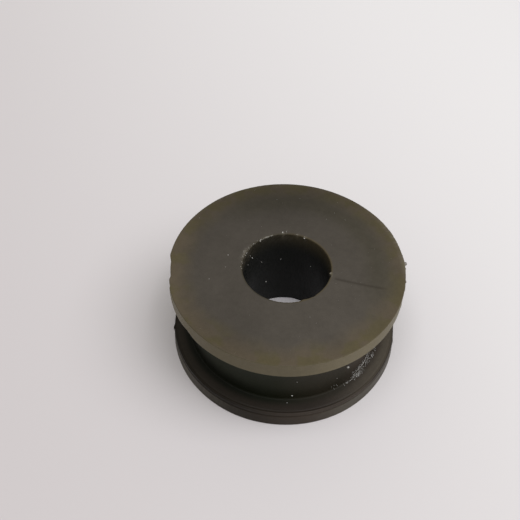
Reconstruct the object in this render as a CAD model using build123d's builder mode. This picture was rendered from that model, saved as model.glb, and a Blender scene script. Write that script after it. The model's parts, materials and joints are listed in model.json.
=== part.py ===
from build123d import *
import math
import os

# A moulded bushing for a gear lever: a short spool with two flanges, a groove
# between them for the edge of a plate, and a straight bore for the lever's pin.
# Origin: centre of the base on the bore's axis. +Z runs up the bore.
# Two side halves of the mould part along Y and meet at +X and -X.

# Overall and fitting sizes, in millimetres
height = 14.3
bore_dia = 12.0
waist_dia = 27.3

# Flanges: how far each one reaches past the waist, and how thick its rim is
top_reach = 2.35
top_rim = 2.4
base_reach = 2.3
base_rim = 2.5

# Draft of the moulding, in degrees
rim_draft = 4.0
groove_draft = 12.0

# Rounded corners in the groove, and fine bevels on the outer edges
groove_corner = 0.25
rim_bevel = 0.12
lip_bevel = 0.12
bore_bevel = 0.15

# The fine V that the mould leaves round the base rim, below the rim's lip
split_drop = 0.62
split_width = 0.3
split_depth = 0.15

# The thin fins of flash that it leaves on the rims, and the flat on the top rim
# where the fin at -X was pared off
flash_width = 0.5
flash_proud = 0.15
flash_root = 0.5
pared_depth = 0.38

# Radii of the section. The base rim is widest at the base and draws in upwards.
bore_r = bore_dia / 2
waist_r = waist_dia / 2
top_r = waist_r + top_reach
base_r = waist_r + base_reach
rim_slope = math.tan(math.radians(rim_draft))
groove_slope = math.tan(math.radians(groove_draft))


def base_rim_r(z):
    """Radius of the base flange's drafted rim at height z."""
    return base_r - z * rim_slope


# Each flange thickens from its lip to the waist at the groove's draft
base_lip_r = base_rim_r(base_rim)
base_root = base_rim + (base_lip_r - waist_r) * groove_slope
top_lip = height - top_rim
top_root = top_lip - top_reach * groove_slope

# Heights of the V in the base rim
split_z = base_rim - split_drop
split_low = split_z - split_width / 2
split_high = split_z + split_width / 2

# Corners of the section that get an edge of their own
base_corner = (base_r, 0)
base_lip_corner = (base_lip_r, base_rim)
waist_corners = [(waist_r, base_root), (waist_r, top_root)]
top_lip_corner = (top_r, top_lip)
top_corner = (top_r, height)
bore_corners = [(bore_r, 0), (bore_r, height)]


def corners(sketch, points):
    """The sketch's corner nearest to each of these points."""
    return [sketch.vertices().sort_by_distance((*point, 0))[0] for point in points]


with BuildPart() as bushing:
    # The whole spool is one turned section
    with BuildSketch(Plane.XZ) as section:
        with BuildLine():
            Polyline(
                bore_corners[0],
                base_corner,
                (base_rim_r(split_low), split_low),
                (base_rim_r(split_z) - split_depth, split_z),
                (base_rim_r(split_high), split_high),
                base_lip_corner,
                *waist_corners,
                top_lip_corner,
                top_corner,
                bore_corners[1],
                close=True,
            )
        make_face()
        fillet(corners(section, waist_corners), groove_corner)
        chamfer(corners(section, bore_corners), bore_bevel)
        chamfer(corners(section, [base_corner, top_corner]), rim_bevel)
        chamfer(corners(section, [base_lip_corner, top_lip_corner]), lip_bevel)
    revolve(axis=Axis.Z)

    # Flash stands on the base rim at both sides, where the mould's halves met
    fin_low = split_high
    fin_high = base_rim - lip_bevel
    with BuildSketch(Plane.XZ) as fins:
        with BuildLine():
            Polyline(
                (base_rim_r(fin_low) - flash_root, fin_low),
                (base_rim_r(fin_low) + flash_proud, fin_low),
                (base_rim_r(fin_high) + flash_proud, fin_high),
                (base_rim_r(fin_high) - flash_root, fin_high),
                close=True,
            )
        make_face()
        mirror(about=Plane.YZ)
        # On the top rim it still stands at +X
        with BuildLine():
            Polyline(
                (top_r - flash_root, top_lip + lip_bevel),
                (top_r + flash_proud, top_lip + lip_bevel),
                (top_r + flash_proud, height - rim_bevel),
                (top_r - flash_root, height - rim_bevel),
                close=True,
            )
        make_face()
    extrude(amount=flash_width / 2, both=True)

    # The knife left a flat on the top rim at -X
    with Locations((pared_depth - top_r, 0, height)):
        Box(
            top_reach,
            top_r,
            3 * top_rim,
            align=(Align.MAX, Align.CENTER, Align.CENTER),
            mode=Mode.SUBTRACT,
        )

bushing.part.label = "bushing"

os.makedirs("parts", exist_ok=True)
export_step(bushing.part, "parts/bushing.step")
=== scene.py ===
# %% [markdown]
# A moulded gear lever bushing, dressed around its packed model.
# The packed model is the fixed frame: its sizes and its place are right, so every piece made here
# takes its measures from it. There is one moulding, with the burrs on its edges and the lint and
# dust that cling to it.

# %% Load the frame
import json
import math

import bpy
from mathutils import Matrix, Vector


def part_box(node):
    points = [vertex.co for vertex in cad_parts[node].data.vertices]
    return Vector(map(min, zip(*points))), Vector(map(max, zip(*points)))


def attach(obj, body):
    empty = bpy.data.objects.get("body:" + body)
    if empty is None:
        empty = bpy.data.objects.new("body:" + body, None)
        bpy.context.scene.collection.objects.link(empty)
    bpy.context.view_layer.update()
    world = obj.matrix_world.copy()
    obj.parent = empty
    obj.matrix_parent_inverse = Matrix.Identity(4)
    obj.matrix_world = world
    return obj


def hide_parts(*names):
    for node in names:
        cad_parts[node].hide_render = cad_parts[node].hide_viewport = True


MM = 0.001
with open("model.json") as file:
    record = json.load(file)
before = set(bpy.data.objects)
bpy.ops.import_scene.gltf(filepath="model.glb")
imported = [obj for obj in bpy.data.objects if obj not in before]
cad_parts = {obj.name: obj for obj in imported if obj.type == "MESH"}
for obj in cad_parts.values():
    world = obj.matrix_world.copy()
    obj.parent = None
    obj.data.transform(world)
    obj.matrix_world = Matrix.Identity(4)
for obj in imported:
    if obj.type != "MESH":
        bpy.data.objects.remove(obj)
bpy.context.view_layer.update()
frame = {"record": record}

# %% [markdown]
# Blender works in metres here, and a part this small is easier to think about in millimetres.
# Two facts come straight from the frame: the node's box gives the height and the top flange, and
# the record's bore mount gives the hole. The flange radius is read along Y, because the flash fins
# stand out along X. The rest of the section is repeated from the part's own sizes.

# %% Sizes of the section, in millimetres and degrees
_, node_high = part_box("bushing")
bore_mount = next(m for m in frame["record"]["mounts"] if m["name"] == "bore")
HEIGHT = node_high.z / MM
TOP_R = round(node_high.y / MM, 1)
BORE_R = bore_mount["dims"]["r_mm"]
TOP_REACH = 2.35
TOP_RIM = 2.4
BASE_REACH = 2.3
BASE_RIM = 2.5
RIM_DRAFT = 4.0
GROOVE_DRAFT = 12.0
SPLIT_DROP = 0.62
SPLIT_HALF = 0.15
SPLIT_DEPTH = 0.15
print("height", round(HEIGHT, 2), "flange radius", TOP_R, "bore radius", BORE_R)

# %% [markdown]
# The camera stands where the phone stood. Its height, its small tilt and its lens were worked out
# from how round the two rims and the bore look, so the ellipses fall where they do in the picture.
# It could be dragged into place by eye, but numbers keep it exact and can be changed one by one.
# A camera's matrix has its right, up and back directions as columns.

# %% A helper that aims the camera
FRAME_SIDE = 520
FOCAL_PIXELS = 860


def look_from(distance, rise, roll, pixel):
    """The matrix of a camera in front of the object that puts the origin on this pixel of the frame."""
    back = Vector((0, -math.cos(rise), math.sin(rise)))
    right = Vector((1, 0, 0))
    down = -right.cross(-back)
    level = Matrix((right, down, -back))
    half = FRAME_SIDE / 2
    ray = Vector(((pixel[0] - half) / FOCAL_PIXELS, (pixel[1] - half) / FOCAL_PIXELS, 1)).normalized()
    turn = Vector((0, 0, 1)).rotation_difference(ray).to_matrix()
    rows = turn @ Matrix.Rotation(roll, 3, "Z") @ level
    axes = Matrix((rows[0], -rows[1], -rows[2])).transposed()
    return Matrix.Translation(back * distance) @ axes.to_4x4()


print("the frame sees", round(2 * math.degrees(math.atan(FRAME_SIDE / 2 / FOCAL_PIXELS)), 1), "degrees")

# %% Camera
CAMERA_DISTANCE = 7.955 * TOP_R * MM
CAMERA_RISE = math.radians(53.89)
CAMERA_ROLL = 0.0524
BASE_CENTRE_PIXEL = (283.5, 329.5)

camera_data = bpy.data.cameras.new("camera")
camera_data.lens = FOCAL_PIXELS / FRAME_SIDE * camera_data.sensor_width
camera_data.clip_start = 0.005
camera_data.clip_end = 20
camera = bpy.data.objects.new("camera", camera_data)
camera.matrix_world = look_from(CAMERA_DISTANCE, CAMERA_RISE, CAMERA_ROLL, BASE_CENTRE_PIXEL)
bpy.context.scene.collection.objects.link(camera)
bpy.context.scene.camera = camera
bpy.context.scene.view_settings.view_transform = "Standard"
print("camera", [round(x / MM, 1) for x in camera.location], "mm, lens", round(camera_data.lens, 1))

# %% [markdown]
# Every finish and every repeated piece below is a node tree. Trees can be wired by hand in the node
# editor, but long sums are hard to read and to change there. This small class makes each sum one
# short call, for shaders and for geometry alike: a value may be a plain number or another socket.

# %% A short hand for plain numbers


class Numbers:
    """Adds nodes to one tree. Each call returns the new node's output socket."""

    def __init__(self, tree):
        self.tree = tree

    def feed(self, socket, value):
        """Links a socket to another, or sets it to a plain value. None leaves it as it is."""
        if isinstance(value, bpy.types.NodeSocket):
            self.tree.links.new(value, socket)
        elif value is not None:
            socket.default_value = value

    def node(self, kind, *values, out=0, named=None, **settings):
        """A node with its settings, its inputs in order, and any inputs given by name."""
        made = self.tree.nodes.new(kind)
        for key, value in settings.items():
            setattr(made, key, value)
        for socket, value in zip(made.inputs, values):
            self.feed(socket, value)
        for key, value in (named or {}).items():
            self.feed(made.inputs[key], value)
        return made.outputs[out]

    def math(self, operation, a, b=None, c=None):
        return self.node("ShaderNodeMath", a, b, c, operation=operation)

    def add(self, a, b):
        return self.math("ADD", a, b)

    def less(self, a, b):
        return self.math("SUBTRACT", a, b)

    def times(self, a, b):
        return self.math("MULTIPLY", a, b)

    def line(self, value, start, end, low, high):
        """Runs straight from low to high while value goes from start to end, and stops there."""
        return self.node("ShaderNodeMapRange", value, start, end, low, high)

    def ramp(self, value, start, end, low=0.0, high=1.0):
        """Runs smoothly from low to high while value goes from start to end."""
        return self.node(
            "ShaderNodeMapRange", value, start, end, low, high, interpolation_type="SMOOTHSTEP"
        )

    def between(self, share, a, b):
        """A number between a and b."""
        return self.node("ShaderNodeMix", share, None, a, b)


print("numbers have", len([name for name in vars(Numbers) if not name.startswith("_")]), "calls")

# %% The same for colours and vectors


class Sums(Numbers):
    """The same short calls, with colours and vectors as well."""

    def blend(self, share, a, b):
        """A colour between a and b."""
        made = self.tree.nodes.new("ShaderNodeMix")
        made.data_type = "RGBA"
        for place, value in ((0, share), (6, a), (7, b)):
            self.feed(made.inputs[place], value)
        return made.outputs[2]

    def vector(self, operation, a, b=None, scale=None):
        # The Scale input is only there when the operation uses it
        named = {} if scale is None else {"Scale": scale}
        return self.node("ShaderNodeVectorMath", a, b, named=named, operation=operation)

    def join(self, x, y, z):
        return self.node("ShaderNodeCombineXYZ", x, y, z)

    def split(self, vector):
        made = self.tree.nodes.new("ShaderNodeSeparateXYZ")
        self.feed(made.inputs[0], vector)
        return made.outputs[0], made.outputs[1], made.outputs[2]


print("colours and vectors add", len([name for name in vars(Sums) if not name.startswith("_")]), "calls")

# %% [markdown]
# The floor is a large pale sheet of card. It is painted lighter towards the far right corner, as painted
# light falling from that side. A brighter lamp on that side would do the same, but it would light the bushing
# too. So the painted light is in the card's own colour, and the lamps can stay at the plain level that suits
# the object.

# %% Card


def new_paint(name):
    """A material, its shader, and a node helper that works in its tree."""
    paint = bpy.data.materials.new(name)
    paint.use_nodes = True
    return paint, paint.node_tree.nodes["Principled BSDF"], Sums(paint.node_tree)


CARD_NEAR_LEFT = (0.603, 0.562, 0.572, 1)
CARD_FAR_RIGHT = (0.830, 0.812, 0.822, 1)
# The painted light runs over these metres of across plus a share of along
FLOOR_LIGHT_START = -0.084
FLOOR_LIGHT_END = 0.094
FLOOR_LIGHT_LEAN = 0.57
card, card_shader, s = new_paint("pale card")
across, along, _ = s.split(s.node("ShaderNodeTexCoord", out=3))
floor_light = s.ramp(s.add(across, s.times(along, FLOOR_LIGHT_LEAN)), FLOOR_LIGHT_START, FLOOR_LIGHT_END)
s.feed(card_shader.inputs["Base Color"], s.blend(floor_light, CARD_NEAR_LEFT, CARD_FAR_RIGHT))
card_shader.inputs["Roughness"].default_value = 0.75
print("card has", len(card.node_tree.nodes), "nodes")

# %% Floor
FLOOR_SIDE = 3.0
reach = FLOOR_SIDE / 2
floor_mesh = bpy.data.meshes.new("floor")
floor_mesh.from_pydata(
    [(-reach, -reach, 0), (reach, -reach, 0), (reach, reach, 0), (-reach, reach, 0)], [], [(0, 1, 2, 3)]
)
floor = bpy.data.objects.new("floor", floor_mesh)
bpy.context.scene.collection.objects.link(floor)
floor.data.materials.append(card)
print("floor laid,", FLOOR_SIDE, "m wide")

# %% [markdown]
# The room is bright and nearly even, like a white studio tent. One broad lamp stands high on the
# right. It gives the soft shadow on the left and lights the groove on its own side. A second one
# hangs almost straight above, a little towards the camera, so it reaches the floor down the bore
# but leaves the groove dark, as the picture has it. Both are wide for their distance, so no shadow
# has a sharp edge. A sun lamp would be simpler, but its shadows are too crisp for this picture.
# A lamp's power follows from the share of a full white light that it should give to a surface
# that faces it.

# %% Lamps
LAMP_DISTANCE = 1.2
LAMP_SIDE = 0.8
LAMP_SHARE = 0.43
LAMP_COLOUR = (0.965, 0.968, 1.0)
RIGHT_LAMP_AZIMUTH = -12


def soft_lamp(name, azimuth, elevation):
    """A square lamp aimed at the object, as bright as its share of a full white light facing it."""
    a, e = math.radians(azimuth), math.radians(elevation)
    way = Vector((math.cos(e) * math.cos(a), math.cos(e) * math.sin(a), math.sin(e)))
    data = bpy.data.lights.new(name, "AREA")
    data.shape = "SQUARE"
    data.size = LAMP_SIDE
    data.energy = LAMP_SHARE * (math.pi * LAMP_DISTANCE) ** 2
    data.color = LAMP_COLOUR
    lamp = bpy.data.objects.new(name, data)
    lamp.location = way * LAMP_DISTANCE
    lamp.rotation_mode = "QUATERNION"
    lamp.rotation_quaternion = (-way).to_track_quat("-Z", "Y")
    bpy.context.scene.collection.objects.link(lamp)
    return lamp


lamps = [soft_lamp("overhead lamp", -90, 80), soft_lamp("right lamp", RIGHT_LAMP_AZIMUTH, 58)]
print("lamps", {lamp.name: round(lamp.data.energy, 2) for lamp in lamps})

# %% Room
DOME_STRENGTH = 0.37
DOME_COLOUR = (1.0, 0.98, 0.88, 1)
world = bpy.data.worlds.new("room")
bpy.context.scene.world = world
world.use_nodes = True
dome = world.node_tree.nodes["Background"]
dome.inputs["Color"].default_value = DOME_COLOUR
dome.inputs["Strength"].default_value = DOME_STRENGTH
print("room light", DOME_STRENGTH)

# %% [markdown]
# The moulding is a turned shape, so it can be drawn as one section and swept round its axis.
# Moulded faces have a little draft: the base rim draws in upwards, and each flange is thicker at the
# waist than at its lip. The same few slopes give every radius and height of the section, so those
# are worked out and not typed in.

# %% Radii and heights of the section
RIM_SLOPE = math.tan(math.radians(RIM_DRAFT))
GROOVE_SLOPE = math.tan(math.radians(GROOVE_DRAFT))
WAIST_R = TOP_R - TOP_REACH
BASE_R = WAIST_R + BASE_REACH


def base_rim_r(z):
    """Radius of the base flange's drafted rim at a height."""
    return BASE_R - z * RIM_SLOPE


def base_face_z(r):
    """Height of the base flange's upper face at a radius."""
    return BASE_RIM + (BASE_LIP_R - r) * GROOVE_SLOPE


BASE_LIP_R = base_rim_r(BASE_RIM)
BASE_ROOT = base_face_z(WAIST_R)
TOP_LIP = HEIGHT - TOP_RIM
TOP_ROOT = TOP_LIP - TOP_REACH * GROOVE_SLOPE
SPLIT_Z = BASE_RIM - SPLIT_DROP
print("waist radius", round(WAIST_R, 2), "and groove", round(TOP_ROOT - BASE_ROOT, 2), "mm wide at the waist")

# %% [markdown]
# Every corner of the real one is slightly rounded, and those small radii catch the light as thin
# lines, so each corner of the section has a radius of its own. The base flange ends in a fine raised
# bead with a fine dip on its inner side, and the mould's split left a V round the rim below it.

# %% Corners of the section
BEAD_R = BASE_LIP_R - 0.16
BEAD_RISE = 0.03
DIP_R = BASE_LIP_R - 0.36
DIP_DEPTH = 0.025
DIP_END_R = DIP_R - 0.16
# On the flat top face, from here inwards, the steps are finer, for the marks on the bore's edge
FINE_R = BORE_R + 0.9
# Radius, height and rounding of each corner, and the longest step to the next, from the bore's foot
SECTION_CORNERS = [
    (BORE_R, 0.0, 0.15, 1.6),
    (BASE_R, 0.0, 0.12, 0.4),
    (base_rim_r(SPLIT_Z - SPLIT_HALF), SPLIT_Z - SPLIT_HALF, 0.05, 0.4),
    (base_rim_r(SPLIT_Z) - SPLIT_DEPTH, SPLIT_Z, 0.03, 0.4),
    (base_rim_r(SPLIT_Z + SPLIT_HALF), SPLIT_Z + SPLIT_HALF, 0.05, 0.2),
    (BASE_LIP_R, BASE_RIM, 0.09, 0.2),
    (BEAD_R, base_face_z(BEAD_R) + BEAD_RISE, 0.06, 0.2),
    (DIP_R, base_face_z(DIP_R) - DIP_DEPTH, 0.06, 0.2),
    (DIP_END_R, base_face_z(DIP_END_R), 0.1, 0.3),
    (WAIST_R, BASE_ROOT, 0.25, 0.6),
    (WAIST_R, TOP_ROOT, 0.25, 0.6),
    (TOP_R - 0.05, TOP_LIP - 0.03, 0.12, 0.15),
    (TOP_R, HEIGHT, 0.12, 0.5),
    (FINE_R, HEIGHT, 0.0, 0.12),
    (BORE_R, HEIGHT, 0.15, 0.9),
]
print("the section has", len(SECTION_CORNERS), "corners")

# %% [markdown]
# A Bevel modifier could round the corners, but it would round them all alike. Here each arc is worked
# out from its two neighbours instead. A point also stands close beside each end of an arc, because
# smooth shading would otherwise carry the arc's slope far into the flat beside it.

# %% Arcs and straights
ARC_STEPS = 4
SUPPORT = 0.05


def arc(before, corner, after, radius):
    """Points along the arc of this radius that rounds one corner, from one straight to the next."""
    if radius == 0:
        return [corner]
    a = (before - corner).normalized()
    b = (after - corner).normalized()
    half = a.angle(b) / 2
    start = corner + a * (radius / math.tan(half))
    centre = corner + (a + b).normalized() * (radius / math.sin(half))
    first = start - centre
    sense = -1 if a.cross(b) > 0 else 1
    swing = sense * (math.pi - 2 * half) / ARC_STEPS
    turns = [(math.cos(swing * i), math.sin(swing * i)) for i in range(ARC_STEPS + 1)]
    return [centre + Vector((first.x * c - first.y * s, first.x * s + first.y * c)) for c, s in turns]


def straight(start, end, longest):
    """Points from start up to but not including end, with one close to each end."""
    length = (end - start).length
    if length < 3 * SUPPORT:
        return [start]
    parts = max(1, math.ceil((length - 2 * SUPPORT) / longest))
    stops = [0] + [SUPPORT + (length - 2 * SUPPORT) * k / parts for k in range(parts + 1)]
    return [start.lerp(end, stop / length) for stop in stops]


print("a rounded corner has", ARC_STEPS + 1, "points")

# %% The whole section


def section_points():
    """The whole section: an arc at each corner, and the straights between them in even steps."""
    spots = [Vector(c[:2]) for c in SECTION_CORNERS]
    count = len(spots)
    arcs = []
    for i, corner in enumerate(spots):
        arcs.append(arc(spots[i - 1], corner, spots[(i + 1) % count], SECTION_CORNERS[i][2]))
    points = []
    for i, bend in enumerate(arcs):
        points.extend(bend[:-1])
        points.extend(straight(bend[-1], arcs[(i + 1) % count][0], SECTION_CORNERS[i][3]))
    return points


section = section_points()
print("the section has", len(section), "points")

# %% [markdown]
# The sweep and all the small pieces are geometry trees, which are quick to change and run the same
# way each time. These helpers open a tree with named inputs and end it, so that its instances are
# real faces with a material. The last one runs trees on a mesh, one after the other, and keeps the
# result as a plain mesh with its object at the origin.

# %% Opening and ending a geometry tree


def new_tree(name, sizes):
    """An empty tree with geometry in and out, and named inputs. Returns it with its input node."""
    tree = bpy.data.node_groups.new(name, "GeometryNodeTree")
    tree.interface.new_socket("Geometry", in_out="INPUT", socket_type="NodeSocketGeometry")
    for label, value in sizes.items():
        kind = "Material" if value is None else "Int" if isinstance(value, int) else "Float"
        socket = tree.interface.new_socket(label, in_out="INPUT", socket_type="NodeSocket" + kind)
        if value is not None:
            socket.default_value = value
    tree.interface.new_socket("Geometry", in_out="OUTPUT", socket_type="NodeSocketGeometry")
    return tree, tree.nodes.new("NodeGroupInput").outputs


def end_tree(tree, geometry, material):
    """Ends a tree: instances become real faces, and the faces get their material."""
    s = Sums(tree)
    real = s.node("GeometryNodeRealizeInstances", geometry)
    done = s.node("GeometryNodeSetMaterial", named={"Geometry": real, "Material": material})
    tree.links.new(done, tree.nodes.new("NodeGroupOutput").inputs[0])


print("trees can be opened and ended")

# %% Steps that several geometry trees share


def placed(s, geometry, place):
    """The geometry with each point moved to a place in millimetres."""
    return s.node(
        "GeometryNodeSetPosition",
        named={"Geometry": geometry, "Position": s.vector("SCALE", place, scale=MM)},
    )


def stored(s, geometry, numbers):
    """The geometry with these named numbers kept on its points."""
    for label, value in numbers.items():
        geometry = s.node(
            "GeometryNodeStoreNamedAttribute",
            data_type="FLOAT",
            domain="POINT",
            named={"Geometry": geometry, "Name": label, "Value": value},
        )
    return geometry


def smoothed(s, geometry):
    """The geometry with its faces shaded smooth."""
    return s.node("GeometryNodeSetShadeSmooth", named={"Geometry": geometry, "Shade Smooth": True})


def round_axis(s, azimuth, radius, height):
    """The place at this azimuth, in radians, and this radius and height."""
    across = s.times(radius, s.math("COSINE", azimuth))
    along = s.times(radius, s.math("SINE", azimuth))
    return s.join(across, along, height)


print("points can be placed, marked and smoothed")

# %% Growing a piece


def grown(name, start_mesh, *steps):
    """Runs each step, a tree with values for its inputs, on a mesh. Returns a plain mesh object."""
    holder = bpy.data.objects.new(name + "_seed", start_mesh)
    bpy.context.scene.collection.objects.link(holder)
    for tree, values in steps:
        modifier = holder.modifiers.new(tree.name, "NODES")
        modifier.node_group = tree
        for item in tree.interface.items_tree:
            if item.in_out == "INPUT" and item.name in values:
                modifier[item.identifier] = values[item.name]
    depsgraph = bpy.context.evaluated_depsgraph_get()
    mesh = bpy.data.meshes.new_from_object(
        holder.evaluated_get(depsgraph), preserve_all_data_layers=True, depsgraph=depsgraph
    )
    mesh.name = name
    bpy.data.objects.remove(holder)
    # The tree adds its material behind an empty slot, so the slots are packed together
    paints = [paint for paint in mesh.materials if paint]
    mesh.materials.clear()
    for paint in paints:
        mesh.materials.append(paint)
    mesh.polygons.foreach_set("material_index", [0] * len(mesh.polygons))
    made = bpy.data.objects.new(name, mesh)
    bpy.context.scene.collection.objects.link(made)
    return made


print("pieces can be grown")

# %% [markdown]
# A cast part is never a perfect turned shape. The mould's halves met at the two sides and left
# flash there, and the bore's top edge has small notches and one torn stretch. Each mark is a soft
# bump round one point of the surface. It says where it lies, how far it spreads, how far it pushes
# out, and how pale the rubber is there. Sculpting by hand could do the same, but a list of marks
# can be checked against the picture one by one.

# %% Marks of the mould
# Azimuth in degrees, then in millimetres: radius, height, spread round, in and out, and up, push, pale
MARKS = [
    (-168.0, 15.8, 13.4, 0.25, 0.5, 0.80, 0.05, 0.1),
    (-163.4, 15.9, 13.2, 0.30, 0.5, 0.60, 0.04, 0.1),
    (-142.0, 16.0, 11.9, 1.30, 0.4, 0.35, -0.14, 0.0),
    (8.0, 16.0, 14.1, 1.20, 0.4, 0.30, 0.08, 0.2),
    (2.0, 16.0, 14.0, 0.90, 0.3, 0.35, 0.04, 0.25),
    (-8.3, 16.0, 13.6, 0.30, 0.4, 0.45, 0.08, 0.25),
    (-17.2, 16.0, 13.2, 0.30, 0.4, 0.60, 0.08, 0.2),
    (31.0, 16.0, 14.1, 4.60, 0.4, 0.30, 0.13, 0.1),
    (-171.8, 15.6, 2.2, 0.35, 0.4, 0.45, 0.22, 0.0),
    (-168.0, 15.6, 1.5, 1.50, 0.5, 1.00, 0.08, 0.0),
    (-108.0, 15.6, 0.4, 4.00, 0.6, 0.80, 0.05, 0.0),
    (-36.0, 15.6, 0.6, 4.50, 0.6, 1.00, -0.09, 0.0),
    (2.0, 15.9, 2.1, 0.50, 0.4, 0.30, 0.12, 0.1),
    (-8.0, 15.9, 1.6, 0.60, 0.4, 0.50, 0.10, 0.1),
    (-6.8, 6.05, 14.2, 0.16, 0.2, 0.25, -0.24, 0.3),
    (-11.0, 6.05, 14.2, 0.22, 0.2, 0.25, 0.12, 0.2),
    (-66.0, 6.05, 14.25, 0.45, 0.2, 0.20, -0.14, 0.0),
    (-51.0, 6.05, 14.25, 0.30, 0.2, 0.20, 0.08, 0.0),
    (66.9, 6.05, 14.25, 0.20, 0.2, 0.20, -0.12, 0.15),
    (77.6, 6.05, 14.25, 0.20, 0.2, 0.20, 0.08, 0.15),
    (96.6, 6.05, 14.25, 0.20, 0.2, 0.20, 0.10, 0.2),
    (121.0, 6.05, 14.25, 0.90, 0.2, 0.20, -0.12, 0.15),
]
# Edges left ragged: the bore's edge on the left, and the top rim on the right and at the back
RAGGED = [
    (158.0, 6.05, 14.2, 1.6, 0.35, 0.5, 0.60, 0.10),
    (24.0, 16.0, 14.2, 3.6, 0.3, 0.2, 0.22, 0.25),
    (115.0, 16.0, 14.2, 11.0, 0.3, 0.2, 0.10, 0.12),
]
print(len(MARKS), "marks, the deepest", -min(out for *_, out, _ in MARKS), "mm")

# %% Fading away from a mark


def cloud(s, place, size, detail=2.0, shift=0.0):
    """A smooth cloud from about 0.25 to 0.75, with lumps of this size. Shift picks another cloud."""
    moved = s.vector("ADD", place, (shift, shift, shift))
    return s.node(
        "ShaderNodeTexNoise",
        named={"Vector": moved, "Scale": 1 / size, "Detail": detail, "Roughness": 0.5},
    )


def bell(s, *shares):
    """1 where all shares are 0, falling off like a bell as any of them grows towards 1 and over."""
    total = s.times(shares[0], shares[0])
    for share in shares[1:]:
        total = s.add(total, s.times(share, share))
    return s.math("EXPONENT", s.times(total, -1.0))


def turn_from(s, azimuth, start):
    """How far an azimuth lies from a start, in radians, with no jump at the back."""
    return s.math("WRAP", s.less(azimuth, start), math.pi, -math.pi)


def near(s, spot, azimuth, radius, height):
    """1 at a mark's centre, falling off by its spreads. Azimuth is in radians, the rest in mm."""
    centre, mark_r, mark_z, round_it, in_out, up = spot
    return bell(
        s,
        s.times(turn_from(s, azimuth, math.radians(centre)), mark_r / round_it),
        s.times(s.less(radius, mark_r), 1 / in_out),
        s.times(s.less(height, mark_z), 1 / up),
    )


print("a mark fades to", round(math.exp(-1), 2), "one spread away")

# %% Pushed and pale
TATTER_SIZE = 0.35


def marked(s, ideal, azimuth, radius, height, push):
    """How far all the marks push a point out, on top of a first push, and how pale they leave it."""
    pale = 0.0
    for *spot, out, paleness in MARKS:
        here = near(s, spot, azimuth, radius, height)
        push = s.add(push, s.times(here, out))
        pale = s.add(pale, s.times(here, paleness))
    tatter = s.less(cloud(s, ideal, TATTER_SIZE, detail=3.0), 0.5)
    for *spot, out, paleness in RAGGED:
        here = near(s, spot, azimuth, radius, height)
        push = s.add(push, s.times(s.times(here, tatter), out))
        pale = s.add(pale, s.times(s.times(here, s.ramp(tatter, -0.1, 0.2)), paleness))
    return push, pale


print(len(RAGGED), "ragged edges, torn in bits of", TATTER_SIZE, "mm")

# %% [markdown]
# On the left the flash was pared off with a knife, which left a short flat and rough nubs where the
# cut ran out. A Boolean with a box cuts a cleaner flat than any knife, and leaves poor faces round
# it. So the knife's path is a few steps in and out along the rim, each one a smooth ramp.

# %% The knife's path
# Between which azimuths in degrees the knife went in or out, and how far in millimetres
KNIFE_STEPS = [(175.2, 180.6, -0.31), (181.0, 188.4, -0.05), (189.4, 191.5, 0.20), (194.6, 197.4, 0.16)]


def on_top_flange(s, height):
    """1 on the top flange, 0 below it."""
    return s.ramp(height, TOP_LIP - 0.35, TOP_LIP + 0.1)


def pared(s, azimuth, radius, height):
    """How far the knife moved a point of the top rim. Azimuth runs from 0 to a full turn."""
    moved = 0.0
    for start, end, step in KNIFE_STEPS:
        moved = s.add(moved, s.ramp(azimuth, math.radians(start), math.radians(end), 0.0, step))
    on_rim = s.times(s.ramp(radius, TOP_R - 1.2, TOP_R - 0.2), on_top_flange(s, height))
    return s.times(moved, on_rim)


print("the knife went in", -sum(step for *_, step in KNIFE_STEPS if step < 0), "mm")

# %% [markdown]
# As the rubber filled the mould, its two fronts met on the right and left a fine line across the
# top face. It runs nearly straight out from the bore. It is a shallow groove and a little darker,
# so the sweep lowers it by a few hundredths, and the finish below darkens it.

# %% Flow lines
FLOW_DEPTH = 0.035
# Azimuth at the inner and outer end, half width, the inner and outer radius, and how clear it is
FLOW_LINES = [(-13.9, -12.5, 0.21, 6.4, 14.4, 0.85), (20.5, 13.0, 0.14, 11.6, 14.9, 0.5)]


def on_flow_line(s, azimuth, radius):
    """1 on the flow lines of the top face, 0 away from them."""
    total = 0.0
    for start, end, half_width, inner, outer, strength in FLOW_LINES:
        way = s.ramp(radius, inner, outer, math.radians(start), math.radians(end))
        off = s.times(turn_from(s, azimuth, way), radius)
        fade = s.times(s.ramp(radius, inner, inner + 0.5), s.ramp(radius, outer, outer - 2.0))
        total = s.add(total, s.times(s.times(bell(s, s.times(off, 1 / half_width)), fade), strength))
    return total


print(len(FLOW_LINES), "flow lines,", FLOW_DEPTH, "mm deep")

# %% [markdown]
# A Screw modifier can sweep a section round, but it can't shape the turned surface as well. Geometry
# Nodes do both. A grid has one row of points for each point of the section, and each column is a
# place round the axis, so a point's row says where it lies on the section and its column how far
# round it goes. The columns stand closer together at the two sides, because the flash and the flow
# line need more points there.

# %% Rows and columns of the sweep
TRIANGLE_LIMIT = 196000
COLUMNS = TRIANGLE_LIMIT // (2 * len(section))


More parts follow.
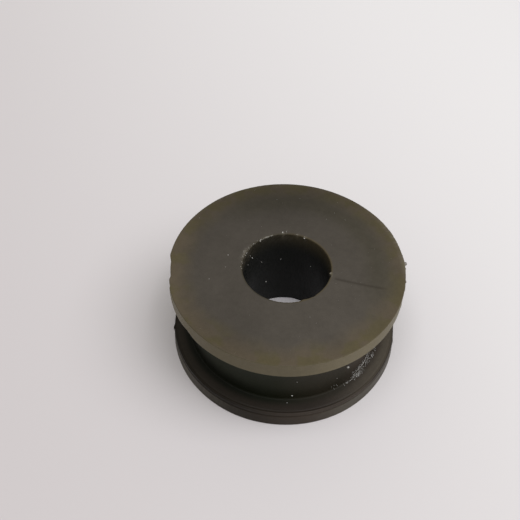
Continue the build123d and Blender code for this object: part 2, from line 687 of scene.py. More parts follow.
def turned_grid(s, given):
    """The sweep's grid, and for each of its points the azimuth, radius and height before any mark."""
    rows = len(section)
    grid = s.node("GeometryNodeMeshGrid", 1.0, 1.0, s.add(given["Columns"], 1), rows + 1)
    index = s.node("GeometryNodeInputIndex")
    row = s.math("FLOORED_MODULO", index, rows + 1)
    # The half keeps a rounding error from putting a point in the column before its own
    column = s.math("FLOOR", s.math("DIVIDE", s.add(index, 0.5), rows + 1))
    share = s.math("DIVIDE", column, given["Columns"])
    swing = s.times(s.math("SINE", s.times(share, 4 * math.pi)), given["Bunching"])
    azimuth = s.less(s.times(share, 2 * math.pi), s.times(swing, 0.5))
    point = s.node(
        "GeometryNodeSampleIndex",
        data_type="FLOAT_VECTOR",
        domain="POINT",
        named={
            "Geometry": given["Geometry"],
            "Value": s.node("GeometryNodeInputPosition"),
            "Index": s.math("FLOORED_MODULO", row, rows),
        },
    )
    radius, _, height = s.split(s.vector("SCALE", point, scale=1 / MM))
    return grid, azimuth, radius, height


print("the sweep has", len(section), "rows and", COLUMNS, "columns")

# %% [markdown]
# After the sweep, a slow waviness and the marks move the points a little. Three numbers stay on each
# point for the finish: how pale it is, how clear the flow line is, and how far it was pushed.
# The grid's first and last columns meet, and so do its rows, so merging them closes the surface.

# %% The tree that turns the section
WAVE_OUT_SIZE = 7.0
WAVE_UP_SIZE = 6.0


def turning_tree():
    """Sweeps the section that comes in round the Z axis and marks it as the mould did."""
    sizes = {"Columns": COLUMNS, "Bunching": 0.7, "Waviness": 0.03, "Material": None}
    tree, given = new_tree("turn the section", sizes)
    s = Sums(tree)
    grid, azimuth, radius, height = turned_grid(s, given)
    ideal = round_axis(s, azimuth, radius, height)
    wave_out = s.times(s.less(cloud(s, ideal, WAVE_OUT_SIZE), 0.5), given["Waviness"])
    wave_up = s.times(s.less(cloud(s, ideal, WAVE_UP_SIZE, shift=40.0), 0.5), given["Waviness"])
    push, pale = marked(s, ideal, azimuth, radius, height, wave_out)
    push = s.add(push, pared(s, azimuth, radius, height))
    flow = s.times(on_flow_line(s, azimuth, radius), s.ramp(height, HEIGHT - 0.2, HEIGHT - 0.05))
    lift = s.less(s.times(wave_up, s.ramp(height, 0.2, 2.0)), s.times(flow, FLOW_DEPTH))
    swept = placed(s, grid, round_axis(s, azimuth, s.add(radius, push), s.add(height, lift)))
    swept = stored(s, swept, {"pale": pale, "flow_line": flow, "pushed": push})
    closed = s.node("GeometryNodeMergeByDistance", named={"Geometry": swept, "Distance": 1e-6})
    end_tree(tree, smoothed(s, closed), given["Material"])
    return tree


turning = turning_tree()
print("the turning tree has", len(turning.nodes), "nodes")

# %% [markdown]
# The real piece is cast from a dark, slightly see-through rubber. Where the top flange thins out to
# its rim, daylight soaks through and the grey turns olive, and the rim's side glows lightest. Inside
# the groove and on the base little light gets through, so the rubber stays almost black there.
# Light could be sent through the mesh to show that, but it renders slowly and with more noise, so each zone
# is painted with the light and shade that it shows in daylight. Radius, height and azimuth say where a point
# lies, and all come from the Object coordinates, which stay with the piece when it moves.

# %% Where a point of the rubber lies


def object_place(s):
    """A point's place on its own object, in millimetres."""
    return s.vector("SCALE", s.node("ShaderNodeTexCoord", out=3), scale=1 / MM)


def toward(s, azimuth, degrees):
    """1 where a point faces this azimuth, -1 on the far side, with no jump anywhere between."""
    return s.math("COSINE", s.less(azimuth, math.radians(degrees)))


rubber, rubber_shader, s = new_paint("aged rubber")
place = object_place(s)
x, y, height = s.split(place)
radius = s.math("SQRT", s.add(s.times(x, x), s.times(y, y)))
azimuth = s.math("ARCTAN2", y, x)


def so_far(zone):
    """Says how far the rubber's tree has grown."""
    print(zone, "done,", len(rubber.node_tree.nodes), "nodes so far")


so_far("place")

# %% [markdown]
# The colour of the rubber is not quite even. Old rubber is mottled a few millimetres wide, flecked
# under a millimetre wide, and has a fine grain left by the mould. An image could carry this, but a
# cloud of noise has no edge or seam, and it is as sharp from near as from far.

# %% Mottling, flecks and grain
mottle = cloud(s, place, 3.2, detail=3.0)
fleck = cloud(s, place, 0.7, detail=4.0, shift=5.0)
grain = cloud(s, place, 0.22, detail=2.0)
uneven = s.add(s.add(s.times(mottle, 0.20), s.times(fleck, 0.28)), s.add(s.times(grain, 0.18), 0.67))
so_far("cloudiness")

# %% [markdown]
# The groove is painted almost black, as shade. It is painted paler and redder on the side of the right lamp,
# as painted light, and paler again up under the top flange, where the floor's light comes back. Down in the
# corner by the base it is painted darkest, as shade. These changes are painted in, because the lamps alone
# leave the groove more even than it looks in the picture.

# %% Groove
DEEP = (0.0130, 0.0155, 0.0075, 1)
DEEP_LIT = (0.0650, 0.0475, 0.0365, 1)
# The stretch of painted light is centred a little nearer to the camera than the lamp is
LIT_SIDE = RIGHT_LAMP_AZIMUTH - 13.0
facing = toward(s, azimuth, LIT_SIDE)
lit = s.add(s.ramp(facing, 0.25, 0.85, 0.0, 0.34), s.ramp(facing, 0.86, 1.0, 0.0, 0.42))
corner_level = s.ramp(facing, -0.4, 0.7, 0.34, 0.75)
level = s.add(s.ramp(height, 4.0, 6.6, corner_level, 1.0), s.ramp(height, 7.0, 10.5, 0.0, 0.8))
dark = s.vector("SCALE", s.blend(lit, DEEP, DEEP_LIT), scale=level)
so_far("groove")

# %% [markdown]
# The base's upper face is painted a little paler than the waist, and most of all where it comes out from
# under the top flange into the open, at both sides and towards the lamp: painted light, beside painted shade
# under the flange. The open sides are found by the azimuth's cosine, which runs smoothly all round. Comparing
# azimuths directly would leave a seam at the back, where they jump from 180 to -180 degrees.

# %% Base's upper face
# The first colour is painted shade under the top flange, the second painted light in the open.
FLANGE = (0.0238, 0.0174, 0.0130, 1)
FLANGE_LIT = (0.0770, 0.0650, 0.0490, 1)
on_base = s.ramp(height, BASE_ROOT + 0.1, BASE_RIM + 0.2)
outward = s.times(s.ramp(radius, WAIST_R + 0.1, BASE_LIP_R - 0.9), on_base)
lit_left = s.ramp(toward(s, azimuth, -170.0), 0.53, 0.97, 0.0, 0.12)
lit_right = s.ramp(toward(s, azimuth, 15.0), 0.0, 0.90, 0.0, 1.1)
shelf = s.blend(s.add(lit_left, lit_right), FLANGE, FLANGE_LIT)
dark = s.blend(s.times(outward, s.ramp(facing, -0.2, 0.9, 0.7, 0.95)), dark, shelf)
so_far("base's upper face")

# %% [markdown]
# The base's side has two bands. Above the mould's line is a dark, reddish lip. Its colour is painted lighter
# towards the lamp and turned down again round the right and the back, as painted light and shade. Below it is
# a wall that stands on the bench, painted to a paler grey at both sides as painted light, and streaked from
# rubbing round. The streaks are a cloud stretched up and down, read round the rim so that they don't lean.

# %% Base's side
# The second and third colours here are painted light.
LIP = (0.0100, 0.0072, 0.0042, 1)
LIP_LIT = (0.0485, 0.0370, 0.0280, 1)
WALL_LIT = (0.0800, 0.0705, 0.0560, 1)
at_rim = s.times(s.ramp(radius, BASE_LIP_R - 0.22, BASE_LIP_R - 0.02), on_base)
lip = s.blend(s.ramp(facing, -0.1, 0.75), LIP, LIP_LIT)
lip = s.vector("SCALE", lip, scale=s.ramp(toward(s, azimuth, 30.0), 0.25, 0.5, 1.0, 0.6))
below_lip = s.times(at_rim, s.ramp(height, SPLIT_Z + 0.05, SPLIT_Z - 0.25))
wall_light = s.add(s.ramp(facing, 0.60, 1.0, 0.03, 1.60), s.ramp(facing, 0.35, -0.60, 0.0, 0.82))
round_rim = s.join(s.times(azimuth, BASE_R), s.times(height, 0.25), 0.0)
streaks = s.line(cloud(s, round_rim, 0.4, detail=3.0), 0.25, 0.75, 0.72, 1.28)
dark = s.blend(at_rim, dark, lip)
dark = s.blend(s.times(below_lip, s.times(wall_light, streaks)), dark, WALL_LIT)
so_far("base's side")

# %% [markdown]
# Where the lint hangs in the groove, the rubber round it is dusty. The crumbs further down are real
# faces, but dust finer than those can only be a change of colour, in small clumps.

# %% Dust in the groove's corner
DUSTY = (0.060, 0.053, 0.043, 1)
DUSTY_CORNER = (-34.0, 13.8, 3.2, 3.2, 0.6, 1.6)
clumps = s.ramp(cloud(s, place, 0.9, detail=4.0, shift=9.0), 0.35, 0.65)
dark = s.blend(s.times(near(s, DUSTY_CORNER, azimuth, radius, height), clumps), dark, DUSTY)
so_far("dust in the corner")

# %% [markdown]
# The top flange's side is painted the palest part, as the light that comes through its corner from above. It
# is painted paler still towards the lamp, with painted shade at the front left. Its colour changes exactly on
# the rounded edge, so the radius is taken as it was before the marks and the knife moved the rim. The sweep
# kept that push as an attribute on the points.

# %% Top flange's side
RIM_SIDE = (0.1320, 0.1125, 0.0705, 1)
turned_r = s.less(radius, s.node("ShaderNodeAttribute", out=2, attribute_name="pushed"))
over_edge = s.less(s.less(HEIGHT, height), s.less(TOP_R, turned_r))
on_rim = s.times(s.ramp(turned_r, TOP_R - 1.0, TOP_R - 0.5), on_top_flange(s, height))
on_side = s.times(s.ramp(over_edge, -0.10, 0.10), on_rim)
side_glow = s.add(s.ramp(x, 0.5, 9.0, 1.0, 1.32), s.ramp(x, 10.0, 14.5, 0.0, -0.09))
side_glow = s.add(side_glow, s.ramp(x, -10.5, -14.0, 0.0, 0.08))
shaded = bell(s, s.times(s.add(x, 6.0), 1 / 4.0), s.times(s.add(y, 11.5), 1 / 5.0))
side_glow = s.less(side_glow, s.times(shaded, 0.10))
so_far("top flange's side")

# %% [markdown]
# The top face is grey in the middle, where the rubber is thick, and painted olive round the rim, as the
# daylight that soaks through where it thins. The change isn't a clean circle: the mottling moves it in and
# out, and the olive itself is patchy. At the back right, a darker ring lies between the two.

# %% Colours of the top face
FACE_CORE = (0.0578, 0.0503, 0.0415, 1)
FACE_RIM = (0.0805, 0.0640, 0.0430, 1)
FACE_OLIVE = (0.0760, 0.0626, 0.0335, 1)
FACE_RING = (0.0465, 0.0407, 0.0293, 1)
THICK_R = 11.8
THIN_R = 15.7
RING_R = 12.2
RING_SPREAD = 1.7
on_face = s.times(s.ramp(height, HEIGHT - 0.30, HEIGHT - 0.12), s.ramp(over_edge, 0.10, -0.10))
ragged_r = s.add(radius, s.times(s.less(mottle, 0.5), 2.5))
thinning = s.ramp(ragged_r, THICK_R, THIN_R)
patches = s.ramp(cloud(s, place, 2.4, detail=3.0, shift=30.0), 0.42, 0.58)
face = s.blend(thinning, FACE_CORE, s.blend(patches, FACE_RIM, FACE_OLIVE))
back_right = s.ramp(s.add(y, s.times(x, 0.7)), -1.0, 9.0)
ring = s.times(bell(s, s.times(s.less(radius, RING_R), 1 / RING_SPREAD)), back_right)
face = s.blend(s.times(ring, 0.85), face, FACE_RING)
so_far("colours of the top face")

# %% [markdown]
# The lamps light the whole face alike, and in the picture it still falls off slowly from the front
# to the back. The thick middle and the thin rim do so at different rates, so each has a slope of its
# own, and the face is dimmed a little more at the back and at the front left.

# %% Fall of light over the top face
core_fall = s.add(s.add(1.145, s.times(x, 0.0075)), s.times(y, -0.0080))
left_end = s.ramp(x, -11.5, -15.0, 0.0, 0.20)
rim_fall = s.add(s.add(0.97, s.times(x, 0.006)), s.add(s.times(y, -0.0100), left_end))
dim_back = bell(s, s.times(x, 1 / 8.0), s.times(s.less(y, 12.6), 1 / 4.0))
dimmed = s.add(s.times(dim_back, 0.24), s.times(shaded, 0.16))
face_glow = s.less(s.add(core_fall, s.times(thinning, s.less(rim_fall, core_fall))), dimmed)
so_far("fall of light")

# %% [markdown]
# The bore is a deep, narrow hole, so its wall is painted nearly black as shade, olive light is painted
# soaking in round its top edge, and the wall is painted lighter towards the left. Where the trimming tore the
# rubber, on the left and at the back, the wall has pale strokes that lean as the tool turned.

# %% Bore's wall
BORE_WALL = (0.0125, 0.0130, 0.0117, 1)
BORE_TOP = (0.078, 0.062, 0.036, 1)
SOAK_DEPTH = 3.6
in_bore = s.ramp(radius, BORE_R + 0.35, BORE_R + 0.02)
soaked = s.math("POWER", s.line(height, HEIGHT - SOAK_DEPTH, HEIGHT - 0.1, 0.0, 1.0), 1.5)
soaked = s.times(soaked, s.ramp(x, 4.0, -3.5, 1.0, 0.35))
wall = s.blend(soaked, BORE_WALL, BORE_TOP)
wall_glow = s.ramp(x, 0.5, -6.0, 1.0, 1.3)
so_far("bore's wall")

# %% Torn strokes in the bore
TORN_WALL = (0.076, 0.066, 0.052, 1)
TORN_LEFT = (162.0, BORE_R, 13.4, 1.7, 0.4, 1.1)
TORN_BACK = (96.0, BORE_R, 13.7, 2.4, 0.4, 0.8)
torn_left = near(s, TORN_LEFT, azimuth, radius, height)
torn_back = near(s, TORN_BACK, azimuth, radius, height)
torn_wall = s.add(torn_left, s.times(torn_back, 0.5))
leaning = s.join(s.add(s.times(azimuth, BORE_R), height), s.times(height, 0.3), 0.0)
strokes = s.ramp(cloud(s, leaning, 0.35, detail=3.0), 0.42, 0.60)
wall = s.blend(s.times(torn_wall, strokes), wall, TORN_WALL)
so_far("torn strokes")

# %% [markdown]
# The zones are laid over each other from the dark parts up: side, face, bore. The light's fall is
# laid over in the same order as a plain number, and then multiplies the colour together with the
# mottling. Layers like these are easier to check than one large table of places and colours,
# because any zone can be left out for a test.

# %% Zones laid together
colour = s.blend(on_side, dark, RIM_SIDE)
colour = s.blend(on_face, colour, face)
colour = s.blend(in_bore, colour, wall)
glow = s.between(on_side, 1.0, side_glow)
glow = s.between(on_face, glow, face_glow)
glow = s.between(in_bore, glow, wall_glow)
colour = s.vector("SCALE", colour, scale=s.times(uneven, glow))
so_far("zones")

# %% [markdown]
# Rubber turns whitish where it was stretched, so the marks are paler, and so is a smear beside the
# torn stretch of the bore's edge. The flow line is darker. The sweep kept both on the points, and
# an Attribute node reads them, so the colour can't slip off the shape.

# %% Pale marks and the flow line
PALE = (0.36, 0.33, 0.27, 1)
FLOW_SHADE = (0.030, 0.024, 0.017, 1)
SMEARED = (160.0, 6.25, HEIGHT, 1.1, 0.30, 0.3)
pale = s.node("ShaderNodeAttribute", out=2, attribute_name="pale")
flow = s.node("ShaderNodeAttribute", out=2, attribute_name="flow_line")
smear = s.ramp(cloud(s, place, 0.3, detail=3.0, shift=3.0), 0.35, 0.70, 0.03, 0.24)
smear = s.times(smear, near(s, SMEARED, azimuth, radius, height))
colour = s.blend(s.times(flow, 0.62), colour, FLOW_SHADE)
colour = s.blend(s.math("MINIMUM", s.add(pale, smear), 0.8), colour, PALE)
s.feed(rubber_shader.inputs["Base Color"], colour)
so_far("marks")

# %% [markdown]
# The surface is satin. Old rubber is dull, so its specular level is low, and one plain value on the
# shader keeps it the same everywhere. The roughness drifts with the mottling. The grain is about a
# hundredth of a millimetre deep, which is too fine for faces, so it is a bump.

# %% Gloss and grain
GRAIN_DEPTH = 0.012 * MM
rubber_shader.inputs["Specular IOR Level"].default_value = 0.13
satin = s.line(s.add(mottle, s.times(grain, 0.5)), 0.5, 1.0, 0.42, 0.56)
s.feed(rubber_shader.inputs["Roughness"], satin)
bump = s.node("ShaderNodeBump", named={"Strength": 1.0, "Distance": GRAIN_DEPTH, "Height": grain})
s.feed(rubber_shader.inputs["Normal"], bump)
so_far("rubber")

# %% [markdown]
# Now the spool itself. The section goes in as a row of loose points, the turning tree sweeps and marks it,
# and the result takes the packed node's place. It rides on the root body, since nothing on this object moves
# by itself.

# %% Moulding
section_mesh = bpy.data.meshes.new("section")
section_mesh.from_pydata([(p.x * MM, 0, p.y * MM) for p in section], [], [])
spool = grown("moulded_spool", section_mesh, (turning, {"Material": rubber}))
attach(spool, "root")
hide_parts("bushing")
print("spool", len(spool.data.vertices), "points,", 2 * len(spool.data.polygons), "triangles")

# %% [markdown]
# The burrs, the lint and the dust are many small things of two kinds, threads and crumbs. Each kind is a tree
# that stands one copy on every point it is given, and the point's own attributes say how it is turned and how
# large it is. The points come from a given list, where the picture shows a thread or a crumb in one place, or
# from a tree that scatters them with a fixed seed.

# %% Points from a list
TURN_KEYS = ("heading", "lift", "size", "stretch")


def points_at(name, rows):
    """A mesh of points. A row is azimuth, radius, height, heading and lift in degrees, size, stretch."""
    mesh = bpy.data.meshes.new(name)
    spots, turns = [], []
    for azimuth, radius, height, heading, lift, size, stretch in rows:
        a = math.radians(azimuth)
        spots.append((radius * math.cos(a) * MM, radius * math.sin(a) * MM, height * MM))
        turns.append((math.radians(heading), math.radians(lift), size, stretch))
    mesh.from_pydata(spots, [], [])
    for key, values in zip(TURN_KEYS, zip(*turns)):
        mesh.attributes.new(key, "FLOAT", "POINT").data.foreach_set("value", values)
    return mesh


print("a listed point keeps its", ", ".join(TURN_KEYS))

# %% Points strewn over a band


def draw(s, low, high, seed):
    """A number between low and high for each point."""
    made = s.tree.nodes.new("FunctionNodeRandomValue")
    made.data_type = "FLOAT"
    for place, value in ((2, low), (3, high), (8, seed)):
        s.feed(made.inputs[place], value)
    return made.outputs[1]


def strewing_tree():
    """Adds points strewn over a band round the axis, whose height falls with the radius."""
    sizes = {
        "Count": 60, "Seed": 1, "From": 0.0, "To": 90.0, "Inner": 13.0, "Outer": 14.0, "Height": 3.0,
        "Fall": 0.0, "Spread Up": 0.1, "Largest Lift": 40.0, "Smallest": 0.1, "Largest": 0.3,
    }
    tree, given = new_tree("strew points", sizes)
    s = Sums(tree)

    def pick(low, high, shift):
        return draw(s, low, high, s.add(given["Seed"], shift))

    # Two draws added together crowd the points towards the middle of the stretch
    share = s.times(s.add(pick(0.0, 1.0, 1), pick(0.0, 1.0, 2)), 0.5)
    degrees = s.add(given["From"], s.times(share, s.less(given["To"], given["From"])))
    azimuth = s.math("RADIANS", degrees)
    radius = pick(given["Inner"], given["Outer"], 3)
    slope = s.times(s.less(radius, given["Inner"]), given["Fall"])
    height = s.add(s.less(given["Height"], slope), pick(0.0, given["Spread Up"], 4))
    line = s.node("GeometryNodeMeshLine", named={"Count": given["Count"]})
    strewn = placed(s, line, round_axis(s, azimuth, radius, height))
    lift = s.math("RADIANS", pick(s.times(given["Largest Lift"], -0.3), given["Largest Lift"], 6))
    heading = s.add(azimuth, pick(0.25 * math.pi, 0.75 * math.pi, 5))
    values = (heading, lift, pick(given["Smallest"], given["Largest"], 7), pick(0.6, 1.6, 8))
    strewn = stored(s, strewn, dict(zip(TURN_KEYS, values)))
    both = tree.nodes.new("GeometryNodeJoinGeometry")
    for some in (given["Geometry"], strewn):
        tree.links.new(some, both.inputs[0])
    tree.links.new(both.outputs[0], tree.nodes.new("NodeGroupOutput").inputs[0])
    return tree


strew = strewing_tree()
print("the strewing tree has", len(strew.nodes), "nodes")

# %% [markdown]
# A thread is one bent curve with a round section that thins towards both ends. A crumb is a small
# ball pushed out of round by noise. Both are made once, a millimetre long, and then stood on the
# points. A copy has only a few dozen faces, because there are hundreds of them. A hair system could
# give threads too, but its strands aren't mesh, and the export keeps meshes only.

# %% Copies on points


def read(s, key):
    """The value of one of the points' attributes."""
    return s.node("GeometryNodeInputNamedAttribute", data_type="FLOAT", named={"Name": key})


def stand_on_points(s, given, thing, size_vector):
    """Copies of a thing on the incoming points, turned and sized by the points' attributes."""
    rotation = s.join(0.0, s.times(read(s, "lift"), -1.0), read(s, "heading"))
    copies = s.node(
        "GeometryNodeInstanceOnPoints",
        named={"Points": given["Geometry"], "Instance": thing, "Rotation": rotation, "Scale": size_vector},
    )
    return smoothed(s, copies)


print("copies can stand on points")

# %% Threads


def thread_tree():
    """Bent threads: size is the length in mm, and stretch is how far the middle bows sideways."""
    tree, given = new_tree("threads", {"Thickness": 0.03, "Sides": 5, "Steps": 8, "Material": None})
    s = Sums(tree)
    bow = s.node(
        "GeometryNodeCurveQuadraticBezier",
        given["Steps"],
        (-0.5 * MM, 0, 0),
        (0.05 * MM, 0.55 * MM, 0.12 * MM),
        (0.5 * MM, 0.1 * MM, 0),
    )
    along = s.node("GeometryNodeSplineParameter")
    taper = s.math("POWER", s.math("SINE", s.add(s.times(along, 2.5), 0.32)), 0.5)
    tapered = s.node("GeometryNodeSetCurveRadius", named={"Curve": bow, "Radius": taper})
    ring = s.node(
        "GeometryNodeCurvePrimitiveCircle",
        named={"Resolution": given["Sides"], "Radius": s.times(given["Thickness"], 0.5 * MM)},
    )
    tube = s.node(
        "GeometryNodeCurveToMesh", named={"Curve": tapered, "Profile Curve": ring, "Fill Caps": True}
    )
    length = read(s, "size")
    # The bow is wider by a fixed share, because a thread scaled flat would turn into a ribbon
    size = s.join(length, s.add(s.times(length, read(s, "stretch")), 0.3), 1.0)
    end_tree(tree, stand_on_points(s, given, tube, size), given["Material"])
    return tree


threads = thread_tree()
print("the thread tree has", len(threads.nodes), "nodes")

# %% Crumbs


def crumb_tree():
    """Crumbs: size is the width in mm, and stretch is how much longer than wide."""
    tree, given = new_tree("crumbs", {"Roughness": 0.5, "Material": None})
    s = Sums(tree)
    ball = s.node("GeometryNodeMeshIcoSphere", 0.5 * MM, 2)
    here = s.node("GeometryNodeInputPosition")
    lump = s.add(s.times(s.less(cloud(s, here, 0.45 * MM, detail=1.0), 0.5), given["Roughness"]), 1.0)
    rough = s.node(
        "GeometryNodeSetPosition", named={"Geometry": ball, "Position": s.vector("SCALE", here, scale=lump)}
    )
    width = read(s, "size")
    size = s.join(s.times(width, read(s, "stretch")), width, s.times(width, 0.7))
    end_tree(tree, stand_on_points(s, given, rough, size), given["Material"])
    return tree


crumbs = crumb_tree()
print("the crumb tree has", len(crumbs.nodes), "nodes")

# %% [markdown]
# The small pieces all need the same two things: a matt finish whose tone drifts a little from lump
# to lump, and the calls that say what the piece rides on. The tone comes from the Object
# coordinates, so each thread and crumb gets its own without a colour being kept for each.

# %% Finish and calls for the small pieces


def flecked_paint(name, lump, spread, dark_tone, pale_tone, roughness):
    """A finish between two tones, in lumps of this size. A smaller spread parts the tones more sharply."""
    paint, shader, s = new_paint(name)
    share = s.ramp(cloud(s, object_place(s), lump), 0.5 - spread, 0.5 + spread)
    s.feed(shader.inputs["Base Color"], s.blend(share, dark_tone, pale_tone))
    shader.inputs["Roughness"].default_value = roughness
    return paint


def dress(piece):
    """What every small piece needs: it moves with the bushing."""
    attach(piece, "root")
    print(piece.name, len(piece.data.polygons), "faces")


print("small pieces can be finished")

# %% [markdown]
# The trimming knife and the pin have raised pale burrs along the bore's top edge: one long curl at
# the back left, a row of short ones across the back, and torn bits on the left. Stretched rubber
# turns whitish, so their finish is much paler than the body. The curls are listed one by one, since
# each can be seen in the picture, and the torn bits are too many for that, so they are strewn.

# %% Burrs on the bore's edge
burr_paint = flecked_paint("stretched rubber", 0.4, 0.15, (0.32, 0.30, 0.26, 1), (0.66, 0.64, 0.61, 1), 0.6)
# Azimuth in degrees, radius and height in mm, heading and lift in degrees, length and bow in mm
EDGE_CURLS = [
    (129.4, 5.89, 14.32, 40.0, 6.0, 0.40, 0.20),
    (123.6, 5.84, 14.33, 34.0, 2.0, 0.70, 0.12),
    (120.0, 5.85, 14.34, 30.0, 2.0, 0.70, 0.12),
    (116.2, 5.84, 14.34, 27.0, 3.0, 0.66, 0.12),
    (112.4, 5.84, 14.35, 15.0, 12.0, 0.26, 0.50),
    (97.0, 6.22, 14.33, 80.0, 10.0, 0.34, 0.30),
    (91.5, 6.30, 14.32, 95.0, 6.0, 0.46, 0.20),
    (68.0, 5.90, 14.31, -20.0, 10.0, 0.18, 0.50),
    (159.0, 6.34, 14.32, 80.0, 6.0, 0.34, 0.10),
    (167.0, 6.12, 14.32, 95.0, 10.0, 0.26, 0.40),
    (150.0, 6.04, 14.30, 70.0, 20.0, 0.24, 0.50),
    (141.0, 6.02, 14.30, 55.0, 16.0, 0.20, 0.50),
    (176.0, 6.03, 14.30, 90.0, 10.0, 0.20, 0.50),
    (-6.8, 6.10, 14.32, 60.0, 12.0, 0.24, 0.60),
]
bore_burrs = grown(
    "bore_burrs", points_at("curl spots", EDGE_CURLS), (threads, {"Thickness": 0.06, "Material": burr_paint})
)
dress(bore_burrs)

# %% Torn bits on the bore's edge
torn_bits = grown(
    "torn_bits",
    bpy.data.meshes.new("torn spots"),
    (strew, {
        "Count": 26, "Seed": 11, "From": 132.0, "To": 190.0, "Inner": 5.92, "Outer": 6.20, "Height": 14.2,
        "Fall": 0.0, "Spread Up": 0.10, "Largest Lift": 40.0, "Smallest": 0.04, "Largest": 0.11,
    }),
    (crumbs, {"Roughness": 0.9, "Material": burr_paint}),
)
dress(torn_bits)

# %% [markdown]
# A strip of cotton lint is caught in the groove's lower corner on the front right. A few long fibres lean up
# and down along it, and the picture shows where each one starts and ends. They could be strewn like the rest,
# but then none would lie along the strip, so they are listed one by one. A heading turns a thread round the
# vertical, and a lift below zero tips its far end down.

# %% Long threads of lint
lint_paint = flecked_paint("cotton lint", 0.5, 0.15, (0.26, 0.25, 0.23, 1), (0.76, 0.75, 0.74, 1), 0.9)
# Azimuth in degrees, radius and height in mm, heading and lift in degrees, length and bow in mm
LONG_THREADS = [
    (-37.4, 13.78, 5.02, 233.0, -40.0, 2.60, 0.15),
    (-42.4, 13.80, 4.20, 228.0, -35.0, 1.50, 0.10),
    (-45.0, 13.86, 3.24, 222.0, -20.0, 1.40, 0.12),
    (-39.5, 13.96, 3.40, 56.0, 14.0, 1.10, 0.15),
    (-33.0, 13.82, 4.40, 240.0, -22.0, 1.10, 0.10),
]
long_threads = grown(
    "long_threads",
    points_at("long thread spots", LONG_THREADS),
    (threads, {"Thickness": 0.075, "Steps": 14, "Material": lint_paint}),
)
dress(long_threads)

# %% [markdown]
# Round the long fibres is a tangle of short curled threads, with crumbs of white dust in it. It is
# thickest near the middle of the strip and thins out to both sides, so the strip is a list of
# stretches, each with its own number of threads and crumbs, and the tree strews them there.

# %% Where the lint is caught
CORNER_FOOT = base_face_z(WAIST_R + 0.1)
# Threads, crumbs, then the azimuths between, the radii between, and how far up they reach
LINT_STRETCHES = [
    (5, 2, -62.0, -55.0, 13.70, 13.80, 1.2),
    (5, 5, -54.0, -46.0, 13.72, 14.00, 0.2),
    (40, 22, -46.5, -36.5, 13.70, 13.80, 1.7),
    (14, 10, -46.0, -37.0, 13.80, 14.20, 0.15),
    (24, 22, -38.0, -18.0, 13.72, 14.00, 0.35),
    (30, 8, -40.0, -27.0, 13.68, 13.78, 2.3),
]


def strewn_lint(column, smallest, largest):
    """One strewing step for each stretch, with the counts in this column of the list."""
    steps = []
    for n, stretch in enumerate(LINT_STRETCHES):
        start, end, inner, outer, up = stretch[2:]
        steps.append((strew, {
            "Count": stretch[column], "Seed": 100 * (column + 1) + 9 * n, "From": start, "To": end,
            "Inner": inner, "Outer": outer, "Height": CORNER_FOOT, "Fall": GROOVE_SLOPE,
            "Spread Up": up, "Largest Lift": 60.0, "Smallest": smallest, "Largest": largest,
        }))
    return steps


print(sum(row[0] for row in LINT_STRETCHES), "threads and", sum(row[1] for row in LINT_STRETCHES), "crumbs")

# %% Short threads and crumbs of lint
lint_threads = grown(
    "lint_threads",
    bpy.data.meshes.new("lint spots"),
    *strewn_lint(0, 0.16, 0.62),
    (threads, {"Thickness": 0.034, "Material": lint_paint}),
)
dress(lint_threads)
lint_crumbs = grown(
    "lint_crumbs",
    bpy.data.meshes.new("lint crumb spots"),
    *strewn_lint(1, 0.03, 0.11),
    (crumbs, {"Roughness": 0.9, "Material": lint_paint}),
)
dress(lint_crumbs)

# %% [markdown]
# Single specks of dust lie where the picture shows them: one bright grain high on the waist, a few
# on the bore's wall and the top face, and some in the groove. White spots could be painted into the
# rubber, but a speck that stands up catches light on one side, as a real one does.

# %% Specks of dust
dust_paint = flecked_paint("pale dust", 1.5, 0.1, (0.40, 0.38, 0.35, 1), (0.82, 0.81, 0.80, 1), 0.8)
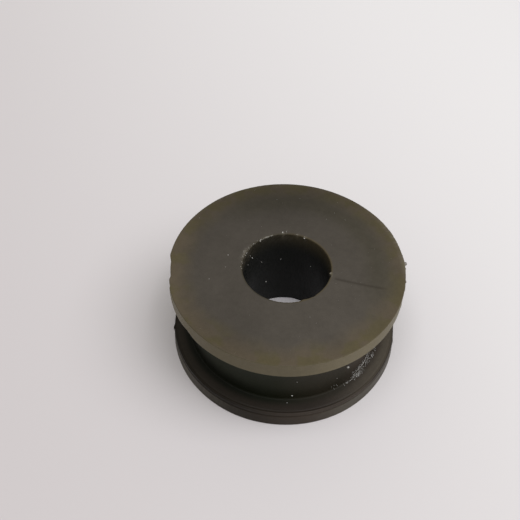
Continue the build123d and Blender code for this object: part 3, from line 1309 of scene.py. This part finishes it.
# Azimuth in degrees, radius and height in mm, heading and lift in degrees, width in mm, stretch
SPECKS = [
    (-50.1, 13.76, 6.80, 40.0, 0.0, 0.35, 1.0),
    (169.0, 8.2, 14.32, 0.0, 0.0, 0.11, 1.2),
    (-176.0, 8.24, 14.31, 0.0, 0.0, 0.07, 1.2),
    (-164.7, 10.6, 14.31, 30.0, 0.0, 0.07, 1.2),
    (97.3, 6.28, 14.33, 10.0, 0.0, 0.15, 1.1),
    (78.5, 6.06, 14.31, 0.0, 0.0, 0.07, 1.2),
    (67.5, 5.86, 14.22, 0.0, 0.0, 0.13, 1.4),
    (130.6, 5.86, 14.28, 40.0, 0.0, 0.15, 1.6),
    (144.9, 5.96, 11.8, 0.0, 0.0, 0.13, 1.0),
    (149.4, 5.95, 12.7, 0.0, 0.0, 0.10, 1.0),
    (155.5, 5.95, 11.4, 0.0, 0.0, 0.10, 1.0),
    (127.4, 5.95, 9.5, 0.0, 0.0, 0.12, 1.0),
    (98.7, 5.95, 9.0, 0.0, 0.0, 0.10, 1.0),
    (119.6, 5.93, 4.6, 0.0, 0.0, 0.20, 1.0),
    (55.0, 5.95, 8.9, 0.0, 0.0, 0.09, 1.0),
    (-83.3, 13.70, 3.8, 0.0, 0.0, 0.18, 1.2),
    (-81.0, 13.70, 7.1, 0.0, 0.0, 0.09, 1.4),
    (-56.8, 13.70, 5.3, 0.0, 0.0, 0.08, 1.4),
    (-86.0, 14.2, 2.86, 0.0, 0.0, 0.08, 1.2),
]
dust_specks = grown(
    "dust_specks", points_at("speck spots", SPECKS), (crumbs, {"Roughness": 0.6, "Material": dust_paint})
)
dress(dust_specks)

# %% [markdown]
# A very thin scatter of fine dust keeps the top face from looking freshly washed. No grain of it
# can be picked out in the picture, so it is strewn all round with a fixed seed.

# %% Fine dust
fine_dust = grown(
    "fine_dust",
    bpy.data.meshes.new("fine dust spots"),
    (strew, {
        "Count": 60, "Seed": 5, "From": -180.0, "To": 180.0, "Inner": 6.6, "Outer": 15.6, "Height": HEIGHT,
        "Fall": 0.0, "Spread Up": 0.01, "Largest Lift": 5.0, "Smallest": 0.012, "Largest": 0.03,
    }),
    (crumbs, {"Roughness": 0.6, "Material": dust_paint}),
)
dress(fine_dust)

# %% [markdown]
# A little flash was squeezed out on the right, at the top edge, and never trimmed: one bead and two small
# ridges beside it. It is thin enough for light to pass, so its finish is painted paler than the rim, as that
# light. Each has the shape of a crumb, so the crumb tree makes them too.

# %% Flash beads
bead_paint = flecked_paint("thin rubber", 0.4, 0.15, (0.11, 0.09, 0.07, 1), (0.22, 0.20, 0.18, 1), 0.5)
# Azimuth in degrees, radius and height in mm, heading and lift in degrees, width in mm, stretch
BEADS = [
    (6.6, 16.13, 14.02, 96.0, 0.0, 0.56, 1.1),
    (3.6, 16.06, 13.95, 90.0, 0.0, 0.22, 2.0),
    (-3.4, 16.06, 13.60, 90.0, 0.0, 0.20, 2.4),
]
flash_beads = grown(
    "flash_beads", points_at("bead spots", BEADS), (crumbs, {"Roughness": 0.4, "Material": bead_paint})
)
dress(flash_beads)

# %% [markdown]
# The dressed bushing has to stay the size of the packed one, give or take the burrs and the bead.
